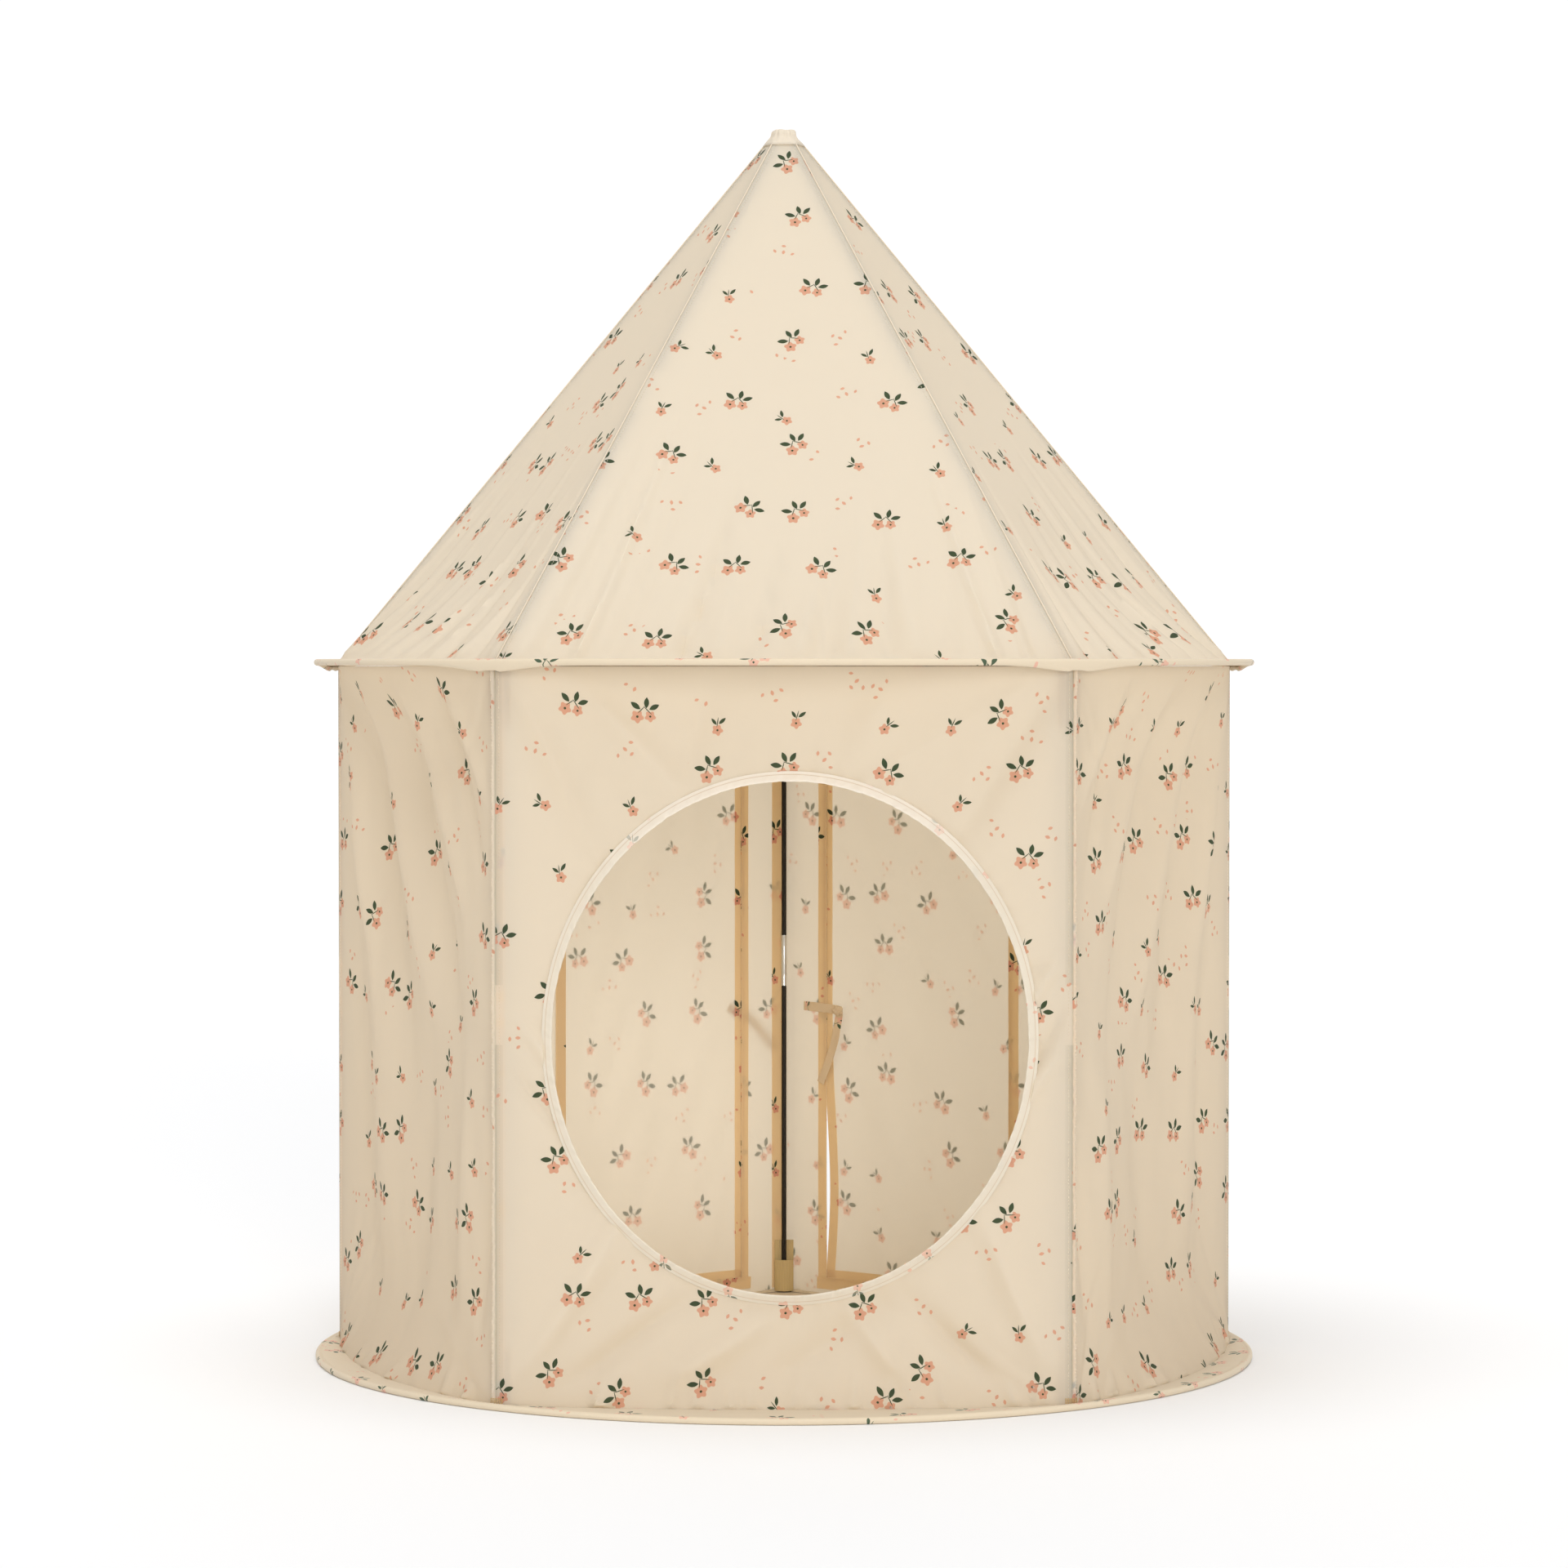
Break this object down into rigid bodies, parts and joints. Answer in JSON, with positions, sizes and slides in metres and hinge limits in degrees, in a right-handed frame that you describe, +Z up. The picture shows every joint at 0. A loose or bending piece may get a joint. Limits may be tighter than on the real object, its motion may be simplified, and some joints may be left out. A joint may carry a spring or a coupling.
{
  "type": "pop-up play tent",
  "caption": "Pop-up play tent with two sprung hoops, jointed poles, a pointed cloth roof, a round front opening and cloth doors at the back.",
  "frame": {"origin": "on the floor, under the middle of the hoops", "axes": "+Z up along the tent's height; the round opening faces -Y; one corner points to +Y"},
  "size_m": [0.9998, 1, 1.3055],
  "materials": {
    "printed_cloth": "plain-woven cream cloth with a small two-colour print",
    "rim_cloth": "folded binding of the same cloth, topstitched",
    "floor_cloth": "plain-woven cloth",
    "webbing": "ribbed tape",
    "black_rod": "satin black fibreglass",
    "ferrule_steel": "rolled steel tube",
    "spring_steel": "spring wire"
  },
  "bodies": {
    "base": {"floor_sheet": "floor_cloth", "base_hoop": "spring_steel", "base_hoop_joiner": "spring_steel", "base_hoop_casing": "printed_cloth", "front_wall": "printed_cloth", "opening_rim": "rim_cloth", "left_wall": "printed_cloth", "right_wall": "printed_cloth", "rear_left_wall": "printed_cloth", "rear_right_wall": "printed_cloth", "right_door_tie": "printed_cloth"},
    "rear_lower_pole": {"rear_foot_pocket": "webbing", "rear_lower_rod": "black_rod"},
    "rear_upper_pole": {"rear_upper_rod": "black_rod", "rear_ferrule": "ferrule_steel", "rear_eave_pocket": "webbing"},
    "right_lower_pole": {"right_foot_pocket": "webbing", "right_lower_rod": "black_rod"},
    "right_upper_pole": {"right_upper_rod": "black_rod", "right_ferrule": "ferrule_steel", "right_eave_pocket": "webbing"},
    "front_right_lower_pole": {"front_right_foot_pocket": "webbing", "front_right_lower_rod": "black_rod"},
    "front_right_upper_pole": {"front_right_upper_rod": "black_rod", "front_right_ferrule": "ferrule_steel", "front_right_eave_pocket": "webbing"},
    "front_left_lower_pole": {"front_left_foot_pocket": "webbing", "front_left_lower_rod": "black_rod"},
    "front_left_upper_pole": {"front_left_upper_rod": "black_rod", "front_left_ferrule": "ferrule_steel", "front_left_eave_pocket": "webbing"},
    "left_lower_pole": {"left_foot_pocket": "webbing", "left_lower_rod": "black_rod"},
    "left_upper_pole": {"left_upper_rod": "black_rod", "left_ferrule": "ferrule_steel", "left_eave_pocket": "webbing"},
    "roof": {"eave_hoop": "spring_steel", "eave_hoop_joiner": "spring_steel", "eave_hoop_casing": "printed_cloth", "roof_cap": "printed_cloth", "rear_right_roof_panel": "printed_cloth", "right_roof_panel": "printed_cloth", "front_roof_panel": "printed_cloth", "left_roof_panel": "printed_cloth", "rear_left_roof_panel": "printed_cloth", "rear_roof_pole": "black_rod", "rear_roof_pocket": "webbing", "right_roof_pole": "black_rod", "right_roof_pocket": "webbing", "front_right_roof_pole": "black_rod", "front_right_roof_pocket": "webbing", "front_left_roof_pole": "black_rod", "front_left_roof_pocket": "webbing", "left_roof_pole": "black_rod", "left_roof_pocket": "webbing"},
    "left_door": {"left_door_flap": "printed_cloth", "left_door_tie": "printed_cloth"},
    "right_door": {"right_door_flap": "printed_cloth"}
  },
  "joints": [
    {"name": "fold", "type": "hinge", "parent": "base", "child": "rear_lower_pole", "pos_m": [0, 0.4698, 0.0025], "axis": [1, 0, 0], "range_deg": [0, 85], "deforming": ["front_wall", "opening_rim", "left_wall", "right_wall", "rear_left_wall", "rear_right_wall", "left_door_flap", "right_door_flap", "left_door_tie", "right_door_tie"]},
    {"name": "rear_elbow_hinge", "type": "hinge", "parent": "rear_lower_pole", "child": "rear_upper_pole", "pos_m": [0, 0.4779, 0.36855], "axis": [1, 0, 0], "range_deg": [-170, 0]},
    {"name": "right_foot_hinge", "type": "hinge", "parent": "base", "child": "right_lower_pole", "pos_m": [0.46402, 0.07349, 0.0025], "axis": [0.1564, -0.9877, 0], "range_deg": [0, 85]},
    {"name": "right_elbow_hinge", "type": "hinge", "parent": "right_lower_pole", "child": "right_upper_pole", "pos_m": [0.47202, 0.07476, 0.36855], "axis": [0.1564, -0.9877, 0], "range_deg": [-170, 0]},
    {"name": "front_right_foot_hinge", "type": "hinge", "parent": "base", "child": "front_right_lower_pole", "pos_m": [0.27348, -0.38199, 0.0025], "axis": [-0.8131, -0.5821, 0], "range_deg": [0, 85]},
    {"name": "front_right_elbow_hinge", "type": "hinge", "parent": "front_right_lower_pole", "child": "front_right_upper_pole", "pos_m": [0.2782, -0.38858, 0.36855], "axis": [-0.8131, -0.5821, 0], "range_deg": [-170, 0]},
    {"name": "front_left_foot_hinge", "type": "hinge", "parent": "base", "child": "front_left_lower_pole", "pos_m": [-0.27348, -0.38199, 0.0025], "axis": [-0.8131, 0.5821, 0], "range_deg": [0, 85]},
    {"name": "front_left_elbow_hinge", "type": "hinge", "parent": "front_left_lower_pole", "child": "front_left_upper_pole", "pos_m": [-0.2782, -0.38858, 0.36855], "axis": [-0.8131, 0.5821, 0], "range_deg": [-170, 0]},
    {"name": "left_foot_hinge", "type": "hinge", "parent": "base", "child": "left_lower_pole", "pos_m": [-0.46402, 0.07349, 0.0025], "axis": [0.1564, 0.9877, 0], "range_deg": [0, 85]},
    {"name": "left_elbow_hinge", "type": "hinge", "parent": "left_lower_pole", "child": "left_upper_pole", "pos_m": [-0.47202, 0.07476, 0.36855], "axis": [0.1564, 0.9877, 0], "range_deg": [-170, 0]},
    {"name": "roof_hinge", "type": "hinge", "parent": "rear_upper_pole", "child": "roof", "pos_m": [0, 0.4698, 0.7346], "axis": [1, 0, 0], "range_deg": [0, 85]},
    {"name": "left_door_swing", "type": "hinge", "parent": "base", "child": "left_door", "pos_m": [-0.25938, 0.27068, 0.35], "axis": [0, 0, 1], "range_deg": [0, 150]},
    {"name": "right_door_swing", "type": "hinge", "parent": "base", "child": "right_door", "pos_m": [0.25938, 0.27068, 0.35], "axis": [0, 0, -1], "range_deg": [0, 150]}
  ],
  "couplings": [
    {"joint": "rear_elbow_hinge", "follows": "fold", "ratio": -2},
    {"joint": "right_foot_hinge", "follows": "fold", "ratio": 1},
    {"joint": "right_elbow_hinge", "follows": "fold", "ratio": -2},
    {"joint": "front_right_foot_hinge", "follows": "fold", "ratio": 1},
    {"joint": "front_right_elbow_hinge", "follows": "fold", "ratio": -2},
    {"joint": "front_left_foot_hinge", "follows": "fold", "ratio": 1},
    {"joint": "front_left_elbow_hinge", "follows": "fold", "ratio": -2},
    {"joint": "left_foot_hinge", "follows": "fold", "ratio": 1},
    {"joint": "left_elbow_hinge", "follows": "fold", "ratio": -2},
    {"joint": "roof_hinge", "follows": "fold", "ratio": 1}
  ]
}
